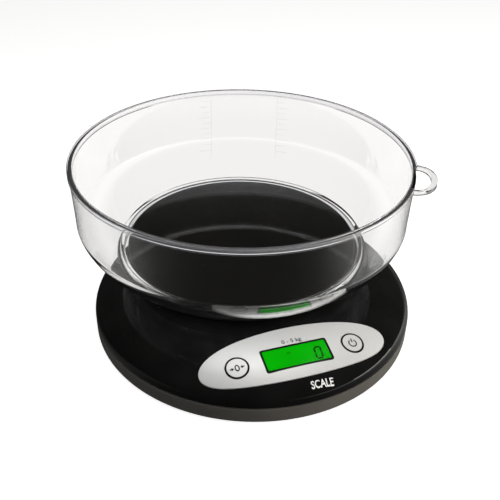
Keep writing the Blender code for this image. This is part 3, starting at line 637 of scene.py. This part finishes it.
def make_lower_housing():
    inside = BASE_R - WALL
    floor_z = BOTTOM_Z + WALL
    lip_z = SEAM_Z - SHELL_GAP
    points = [(0, floor_z), (inside, floor_z, 2 * MM), (inside, lip_z, 0), (BASE_R - GROOVE_DEPTH, lip_z, 0),
              (BASE_R - GROOVE_DEPTH, lip_z - GROOVE_HEIGHT, 0.1 * MM),
              (BASE_R, lip_z - GROOVE_HEIGHT, 0.35 * MM), (BASE_R, BOTTOM_Z, BASE_CORNER), (0, BOTTOM_Z)]
    shell = turned("lower_housing_fine", filleted(points, 0, 8))
    in_floor = BOTTOM_Z + WALL / 2
    combined(shell, "UNION",
             block("cell_pad", PAD_SIZE, in_floor, PAD_TOP_Z, AT_BOWL, PAD_MIDDLE_X),
             rods("housing_bosses", HOUSING_SCREWS, HOUSING_BOSS_R, in_floor, POST_LOW_Z - SHELL_GAP,
                  AT_BOWL),
             block("battery_bay", BAY_OUTSIDE, in_floor, BAY_TOP_Z, AT_BOWL, 0, DOOR_Y))
    door_low, door_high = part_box("battery_door")
    doorway = [side + 2 * SHELL_GAP for side in (door_high - door_low).to_2d()]
    combined(shell, "DIFFERENCE",
             block("bay_room", BAY_INSIDE, BOTTOM_Z + MM, BAY_TOP_Z + MM, AT_BOWL, 0, DOOR_Y),
             block("doorway", doorway, MM, door_high.z + SHELL_GAP, AT_BOWL, 0, DOOR_Y),
             rods("boss_bores", HOUSING_SCREWS, SCREW_HOLE_R, MM, 10 * MM, AT_BOWL, 24),
             rods("boss_counterbores", HOUSING_SCREWS, SCREW_HEAD_R, MM, SCREW_SEAT_Z, AT_BOWL),
             rods("cell_bores", CELL_SCREWS, CELL_HOLE_R, MM, 9 * MM, AT_BOWL, 24),
             rods("cell_counterbores", CELL_SCREWS, CELL_HEAD_R, MM, CELL_SEAT_Z, AT_BOWL))
    return dress(shell, "satin_black", "base", replaces=["lower_housing"])


# ---------------------------------------------------------------- platform and bowl

def make_platform():
    top, skirt = PLATFORM_TOP_Z, PLATFORM_SKIRT_Z
    points = [(0, top), (PLATFORM_R, top, PLATFORM_EDGE), (PLATFORM_R, skirt, 0.3 * MM),
              (PLATFORM_R - WALL, skirt, 0.3 * MM), (PLATFORM_R - WALL, top - WALL, MM), (0, top - WALL)]
    platform = turned("weighing_platform_fine", filleted(points, 0, 6), AT_BOWL)
    bosses = rods("bosses", carrier_places(), POST_R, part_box("platform_carrier")[1].z + 0.3 * MM,
                  top - WALL / 2, AT_BOWL)
    combined(platform, "UNION", bosses)
    combined(platform, "DIFFERENCE",
             rods("bores", carrier_places(), 1.8 * MM, skirt - 5 * MM, top - WALL, AT_BOWL, 24))
    return dress(platform, "platform_black", "platform", ["weighing_platform"])


def bowl_wall(offset=0.0, count=44):
    """Outside of the bowl's wall from under the lip down to the foot, moved inwards by an offset."""
    def point(angle):
        return Vector((CURVE_LOW_R + (SIDE_LOW_R - CURVE_LOW_R) * math.cos(angle) ** (2 / CURVE_POWER),
                       CURVE_TOP_Z - (CURVE_TOP_Z - CURVE_LOW_Z) * math.sin(angle) ** (2 / CURVE_POWER)))

    points = []
    straight = 12
    for i in range(straight):                     # nearly straight, bending smoothly into the curve below
        t = 1 - i / straight
        points.append((SIDE_LOW_R + (SIDE_TOP_R - SIDE_LOW_R) * t ** 1.6 - offset,
                       CURVE_TOP_Z + (RIM_TOP_Z - LIP_HEIGHT - CURVE_TOP_Z) * t))
    for i in range(count):
        angle = CURVE_END * (i + 0.3) / (count - 0.7)
        along = (point(angle + 0.002) - point(angle - 0.002)).normalized()
        moved = point(angle) + Vector((along.y, -along.x)) * offset
        points.append((moved.x, moved.y))
    return points


def hook_arc(root_x, half, tip_x, count=48):
    """A D shape: straight across at its root, round at its tip."""
    angles = [math.pi * (i / count - 0.5) for i in range(count + 1)]
    return [(root_x + (tip_x - root_x) * max(0.0, math.cos(a)) ** 0.8, half * math.sin(a)) for a in angles]


def make_bowl():
    floor_z = BOWL_SEAT_Z + BOWL_FLOOR
    lip_low_z = RIM_TOP_Z - LIP_HEIGHT
    inside = bowl_wall(BOWL_WALL)
    inner = [(p[0], p[1], 0) for p in reversed(inside)]
    groove_r, groove_z = inside[0]                # a fine groove round the inside, under the lip
    inner[-1:] = [(groove_r, groove_z - 0.3 * MM, 0), (groove_r + 0.45 * MM, groove_z, 0.05 * MM),
                  (groove_r, groove_z + 0.3 * MM, 0)]
    outer = [(p[0], p[1], 0) for p in bowl_wall()]
    trough_z = inside[-1][1]
    points = [(0, floor_z), (STEP_R, floor_z, 1.5 * MM), (STEP_R + 0.3 * MM, trough_z, 0.8 * MM)]
    points += inner
    points += [(RIM_R - LIP_WIDTH, RIM_TOP_Z, 0.3 * MM), (RIM_R, RIM_TOP_Z, 0.6 * MM),
               (RIM_R, lip_low_z, 0.3 * MM)]
    points += outer
    points += [(FOOT_RING_OUT_R, FOOT_RING_Z, 0.5 * MM), (FOOT_RING_IN_R, FOOT_RING_Z, 0.5 * MM),
               (FOOT_RING_IN_R, BOWL_SEAT_Z, 0.5 * MM), (0, BOWL_SEAT_Z)]
    bowl = turned("bowl_fine", filleted(points, 0, 5), AT_BOWL, BOWL_STEPS)
    at_hook = AT_BOWL @ Matrix.Rotation(HOOK_ANGLE, 4, "Z")
    mid = lip_low_z + HOOK_THICK / 2
    hole = hook_arc(HOOK_HOLE_X, HOOK_HALF_WIDTH - HOOK_SIDE_BAR, RIM_R + HOOK_REACH - HOOK_BAR)
    plate = outline("hook", [hook_arc(HOOK_ROOT_X, HOOK_HALF_WIDTH, RIM_R + HOOK_REACH)],
                    mid - HOOK_THICK / 2, mid + HOOK_THICK / 2, at_hook)
    combined(plate, "DIFFERENCE", outline("hook_room", [hole], mid - 3 * MM, mid + 3 * MM, at_hook))
    rounded_edges(plate, 0.6 * MM, 4)
    combined(bowl, "UNION", plate)
    notch = hook_arc(HOOK_HOLE_X, HOOK_HALF_WIDTH - HOOK_SIDE_BAR - 0.1 * MM,
                     RIM_R + HOOK_REACH - HOOK_BAR - 0.1 * MM)
    combined(bowl, "DIFFERENCE",
             outline("hook_hole", [notch], lip_low_z - 0.05 * MM, RIM_TOP_Z + 4 * MM, at_hook))
    dress(bowl, "clear_plastic", "bowl", replaces=["bowl"], angle=35)
    # painted shade on the lip: faces over the lip take the hazier, violet-grey plastic that darkens the
    # rim's band
    bowl.data.materials.append(LOOKS["bowl_lip"])
    for face in bowl.data.polygons:
        out = (face.center - BOWL_AXIS).to_2d().length
        if face.center.z > lip_low_z and out < RIM_R + 0.1 * MM:
            face.material_index = 1
    bowl.visible_shadow = False                   # clear plastic lets the light through
    return bowl


# ---------------------------------------------------------------- control panel

def make_control_panel():
    plate = panel_prism("control_panel_fine", 0.0)
    combined(plate, "INTERSECT", dome_solid("panel_top", PANEL_PROUD, SEAM_Z))
    hole = rounded_rectangle(WINDOW[0] + 0.6 * MM, WINDOW[1] + 0.6 * MM, 1.6 * MM)
    window = outline("window_hole", [hole], -8 * MM, 8 * MM, PANEL_FRAME)
    keys = rods("panel_key_holes", KEY_PLACES, PANEL_HOLE_R, -9 * MM, 5 * MM, PANEL_FRAME, 64)
    combined(plate, "DIFFERENCE", dome_solid("panel_under", PANEL_PROUD - PANEL_THICK, SEAM_Z - MM),
             window, keys)
    return dress(plate, "silver_panel", "base", replaces=["control_panel"])


def sliced(obj, step):
    """Cut a mesh's faces along upright planes both ways, so that it can bend."""
    bm = bmesh.new()
    bm.from_mesh(obj.data)
    for way in (Vector((1, 0, 0)), Vector((0, 1, 0))):
        along = [vertex.co.dot(way) for vertex in bm.verts]
        for i in range(1, math.ceil((max(along) - min(along)) / step)):
            bmesh.ops.bisect_plane(bm, geom=bm.verts[:] + bm.edges[:] + bm.faces[:],
                                   plane_co=way * (min(along) + i * step), plane_no=way)
    bm.to_mesh(obj.data)
    bm.free()


def laid_on_dome(ink, over):
    """Drop a thin flat shape in the panel's frame straight down on a surface over the dome."""
    sliced(ink, INK_STEP)
    to_panel = PANEL_FRAME.inverted()
    for vertex in ink.data.vertices:
        r = (vertex.co - BASE_AXIS).to_2d().length
        above = over + (INK_TOP if (to_panel @ vertex.co).z > 0 else -INK_DEPTH)
        vertex.co.z = SEAM_Z + dome_height(r) + above * math.hypot(1, dome_slope(r))
    return ink


def printed(name, rings, over, look, body):
    """A flat printed shape that follows the dome, at a given height over it."""
    ink = outline(name, rings, -INK_DEPTH, INK_DEPTH, PANEL_FRAME)
    return dress(laid_on_dome(ink, over), look, body)


def arc(radius, start, end, count=24):
    angles = [math.radians(start + (end - start) * i / count) for i in range(count + 1)]
    return [(radius * math.cos(a), radius * math.sin(a)) for a in angles]


ARROW = [(-4.6, -0.35), (-3.4, -0.35), (-3.4, -1.1), (-2.0, 0), (-3.4, 1.1), (-3.4, 0.35), (-4.6, 0.35)]
KEY_SIGNS = {                                     # mm from the key's middle: zero between arrows, and power
    "tare": [ellipse(1.5, 2.3, 32), ellipse(0.8, 1.55, 32), ARROW, [(-x, -y) for x, y in ARROW]],
    "power": [arc(2.8, 125, 415) + arc(2.05, 415, 125),
              [(-0.38, 0.7), (0.38, 0.7), (0.38, 3.4), (-0.38, 3.4)]],
}


def make_keys():
    for side, body, (x, y) in zip(("tare", "power"), ("tare_key", "power_key"), KEY_PLACES):
        key = rods(side + "_button_fine", [(x, y)], KEY_R, KEY_BOTTOM, 4 * MM, PANEL_FRAME, 96)
        combined(key, "INTERSECT", dome_solid(side + "_top", KEY_PROUD, SEAM_Z - MM))
        combined(key, "UNION", block(side + "_lug", KEY_LUG, KEY_BOTTOM, -5 * MM, PANEL_FRAME,
                                     x, y + KEY_R + 0.2 * MM))
        dress(key, "silver_panel", body, replaces=[side + "_button"])
        ring = rods(side + "_key_ring", [(x, y)], RING_OUT_R, KEY_BOTTOM + MM, 4 * MM, PANEL_FRAME, 96)
        combined(ring, "DIFFERENCE",
                 rods(side + "_ring_room", [(x, y)], RING_IN_R, KEY_BOTTOM, 5 * MM, PANEL_FRAME, 96))
        combined(ring, "INTERSECT", dome_solid(side + "_ring_top", KEY_PROUD + 0.05 * MM, SEAM_Z - MM))
        dress(ring, "print_black", body)
        sign = [[(x + u * MM, y + v * MM) for u, v in shape] for shape in KEY_SIGNS[side]]
        printed(side + "_key_sign", sign, KEY_PROUD, "print_black", body)


def in_window(name, rings, z0, z1, look):
    """A thin printed or moulded shape in the display, in the panel's frame."""
    return dress(outline(name, rings, z0, z1, PANEL_FRAME), look, "base")


def digit_bar(x, y, length, upright=False):
    """One bar of a seven-segment digit with pointed ends, centred at (x, y) and leaning with it."""
    half, tip = length / 2, BAR_WIDTH / 2
    bar = [(-half, 0), (-half + tip, tip), (half - tip, tip), (half, 0), (half - tip, -tip),
           (-half + tip, -tip)]
    if upright:
        bar = [(v, u) for u, v in bar]
    return [(DIGIT_PLACE[0] + x + u + (y + v) * SLANT, DIGIT_PLACE[1] + y + v) for u, v in bar]


def make_display():
    width, height = (side + 0.5 * MM for side in WINDOW)
    outside = rounded_rectangle(width, height, 1.5 * MM)
    inside = rounded_rectangle(width - 2 * BORDER, height - 2 * BORDER, 0.9 * MM)
    in_window("window_border", [outside, inside], WINDOW_TOP + 0.02 * MM, WINDOW_TOP + 0.08 * MM,
              "print_black")
    half_w, half_h = DIGIT[0] / 2, DIGIT[1] / 2
    zero = [digit_bar(0, y, DIGIT[0] - BAR_GAP) for y in (-half_h, half_h)]
    zero += [digit_bar(x, y, half_h - BAR_GAP, upright=True)
             for x in (-half_w, half_w) for y in (-half_h / 2, half_h / 2)]
    in_window("digit_zero", zero, SEGMENT_LOW, SEGMENT_HIGH, "segment")
    angles = [math.pi * i / 12 for i in range(13)]
    bow = [(1.3 * math.cos(a), 1.0 * math.sin(a)) for a in angles]
    bow += [(0.75 * math.cos(a), 0.5 * math.sin(a)) for a in reversed(angles)]
    sign = [(SIGN_PLACE[0] + x * MM, SIGN_PLACE[1] + y * MM) for x, y in bow]
    in_window("stable_sign", [sign], SEGMENT_LOW, SEGMENT_HIGH, "segment")


def lettering(name, text, size, bold, place, over, look):
    """Thin letters in the built-in font, set out in the panel's frame and laid on the dome."""
    curve = bpy.data.curves.new(name, "FONT")
    curve.body = text
    curve.size = size
    curve.align_x = curve.align_y = "CENTER"
    curve.extrude = INK_DEPTH
    curve.offset = bold
    ink = from_curve(name, curve, PANEL_FRAME @ Matrix.Translation((*place, 0)))
    return dress(laid_on_dome(ink, over), look, "base")


def make_prints():
    lettering("panel_text", "0 - 5 kg", 4.2 * MM, 0.06 * MM, (0.4 * MM, 11.25 * MM), PANEL_PROUD,
              "print_black")
    lettering("shell_text", "SCALE", 5.2 * MM, 0.1 * MM, (9 * MM, -20.5 * MM), 0,
              "print_white")


def make_graduations():
    """Two lines up the inside of the wall, each with a ladder of ticks: a clear, slightly rough relief."""
    wall = [p for p in bowl_wall(BOWL_WALL + 0.02 * MM, 60) if p[1] > SCALE_LOW_Z]
    low, high = wall[-1][1], wall[0][1]
    bm = bmesh.new()

    def strip(points, around, width):
        """A thin ribbon up the wall; around is the distance round from the middle of the scale."""
        rows = []
        for r, z in points:
            row = []
            for side in (-0.5, 0.5):
                for depth in (0.0, SCALE_RELIEF):
                    turn = SCALE_AZIMUTH + (around + side * width) / r
                    row.append(bm.verts.new(((r - depth) * math.cos(turn), (r - depth) * math.sin(turn), z)))
            rows.append(row)
        for a, b in zip(rows, rows[1:]):
            for i, j in ((0, 1), (1, 3), (3, 2), (2, 0)):
                bm.faces.new((a[i], a[j], b[j], b[i]))
        for row in (rows[0], rows[-1]):
            bm.faces.new((row[0], row[1], row[3], row[2]))

    for side in (-1, 1):
        strip(wall, side * SCALE_HALF_GAP, LINE_WIDTH)
        for i in range(1, TICKS + 1):
            z = low + (high - low) * i / (TICKS + 1)
            r = next(p[0] for p in reversed(wall) if p[1] >= z)
            length = TICK_LENGTHS[i % 2]
            strip([(r, z - TICK_WIDTH / 2), (r, z + TICK_WIDTH / 2)],
                  side * (SCALE_HALF_GAP + TICK_GAP + length / 2), length)
    bmesh.ops.recalc_face_normals(bm, faces=bm.faces)
    scale = from_bmesh("graduations", bm, AT_BOWL)
    return dress(scale, "frosted", "bowl")


# ---------------------------------------------------------------- stage

def paper():
    """Paper that is white to look at, and through clear plastic where it lies behind the scale.

    To other rays it shines on the right, in front of the scale, and is dim elsewhere.
    """
    look = Look("paper", (0.8, 0.8, 0.8), 0.7, Emission_Color=(1, 1, 1, 1), Emission_Strength=0.78)
    look.color(look.noise(0.4, 2), (0.79, 0.79, 0.79), (0.81, 0.81, 0.81))
    tree, nodes, links = look.tree, look.nodes, look.links
    split = nodes.new("ShaderNodeSeparateXYZ")
    links.new(look.place, split.inputs["Vector"])
    x, y = split.outputs["X"], split.outputs["Y"]
    path = nodes.new("ShaderNodeLightPath")
    outward = nodes.new("ShaderNodeVectorMath")
    outward.operation = "NORMALIZE"
    links.new(look.place, outward.inputs[0])
    facing = nodes.new("ShaderNodeVectorMath")
    facing.operation = "DOT_PRODUCT"
    facing.inputs[1].default_value = (math.cos(FRONT_AZIMUTH), math.sin(FRONT_AZIMUTH), 0)
    links.new(outward.outputs["Vector"], facing.inputs[0])
    off_front = map_range(tree, facing.outputs["Value"], (0.5, 0.97), (0.2, 0.03))
    right = map_range(tree, x, (0.07, 0.32), (0.0, 1.3))
    ahead = map_range(tree, y, (-0.08, 0.03), (1.0, 0.1))
    behind = map_range(tree, y, (-0.10, 0.0))
    lit = math_node(tree, "MULTIPLY", math_node(tree, "ADD", off_front, right), ahead)
    seen_through = math_node(tree, "MULTIPLY", behind, path.outputs["Is Transmission Ray"])
    strength = nodes.new("ShaderNodeMix")
    links.new(seen_through, strength.inputs["Factor"])
    links.new(lit, strength.inputs["A"])
    strength.inputs["B"].default_value = 1.0
    around = nodes.new("ShaderNodeEmission")
    around.inputs["Color"].default_value = (1, 0.985, 0.965, 1)
    links.new(strength.outputs["Result"], around.inputs["Strength"])
    mix = nodes.new("ShaderNodeMixShader")
    links.new(path.outputs["Is Camera Ray"], mix.inputs["Fac"])
    links.new(around.outputs["Emission"], mix.inputs[1])
    links.new(look.shader.outputs["BSDF"], mix.inputs[2])
    links.new(mix.outputs["Shader"], nodes["Material Output"].inputs["Surface"])
    return look.material


def make_world():
    """White to look at, white low down through clear plastic, and a dim room for everything else."""
    world = bpy.data.worlds.new("studio")
    world.use_nodes = True
    tree = world.node_tree
    nodes, links = tree.nodes, tree.links
    path = nodes.new("ShaderNodeLightPath")
    split = nodes.new("ShaderNodeSeparateXYZ")
    links.new(nodes.new("ShaderNodeTexCoord").outputs["Generated"], split.inputs["Vector"])
    low_down = map_range(tree, split.outputs["Z"], (0.45, 0.15))
    seen_through = math_node(tree, "MULTIPLY", low_down, path.outputs["Is Transmission Ray"])
    white = math_node(tree, "MAXIMUM", path.outputs["Is Camera Ray"], seen_through)
    colors = nodes.new("ShaderNodeMix")
    colors.data_type = "RGBA"
    colors.inputs["A"].default_value = ROOM_LIGHT
    colors.inputs["B"].default_value = (1, 1, 1, 1)
    links.new(white, colors.inputs["Factor"])
    links.new(colors.outputs["Result"], nodes["Background"].inputs["Color"])
    bpy.context.scene.world = world


def make_stage():
    bm = bmesh.new()
    bmesh.ops.create_grid(bm, x_segments=1, y_segments=1, size=FLOOR_HALF)
    floor = from_bmesh("floor", bm)
    floor.data.materials.append(paper())
    make_world()
    bpy.context.scene.view_settings.view_transform = "Standard"


def softbox(name, place, size, power, mirrored=True, color=(1, 1, 1)):
    """A rectangular light aimed at the scale; unless mirrored, no gloss or clear plastic shows it."""
    data = bpy.data.lights.new(name, "AREA")
    data.shape = "RECTANGLE"
    data.size, data.size_y = size
    data.energy = power
    data.color = color
    light = link(name, data)
    light.location = place
    light.rotation_euler = (LIGHT_AIM - Vector(place)).to_track_quat("-Z", "Y").to_euler()
    light.visible_glossy = light.visible_transmission = mirrored
    return light


def make_lights():
    warm = (1, 0.96, 0.89)
    softbox("overhead", (0.0, -0.35, 1.1), (1.0, 0.8), 6, mirrored=False)
    softbox("front", (-0.3, -1.0, 0.6), (0.6, 0.6), 3, mirrored=False)
    softbox("side", (0.85, -0.5, 0.15), (0.5, 0.3), 9, mirrored=False, color=warm)
    softbox("side_line", (0.9, -0.5, 0.02), (0.6, 0.04), 0.5, color=warm)
    top = softbox("top", (0.13, 0.26, 1.05), (0.4, 0.4), 6)
    base_only = bpy.data.collections.new("lit_from_the_top")       # the top light reaches only these
    for name in ("control_panel_fine", "tare_button_fine", "power_button_fine", "upper_housing_fine"):
        base_only.objects.link(bpy.data.objects[name])
    top.light_linking.receiver_collection = base_only


def make_camera():
    data = bpy.data.cameras.new("camera")
    data.lens = CAMERA_LENS
    data.sensor_width = SENSOR
    camera = link("camera", data)
    turn = (Matrix.Rotation(math.radians(CAMERA_AZIMUTH), 4, "Z")
            @ Matrix.Rotation(math.radians(90 - CAMERA_ELEVATION), 4, "X")
            @ Matrix.Rotation(math.radians(CAMERA_ROLL), 4, "Z"))
    camera.matrix_world = Matrix.Translation(CAMERA_PLACE) @ turn
    bpy.context.scene.camera = camera


make_camera()
make_stage()
dress_cad_nodes()
make_upper_housing()
make_lower_housing()
make_platform()
make_bowl()
make_control_panel()
make_keys()
make_display()
make_prints()
make_graduations()
make_lights()
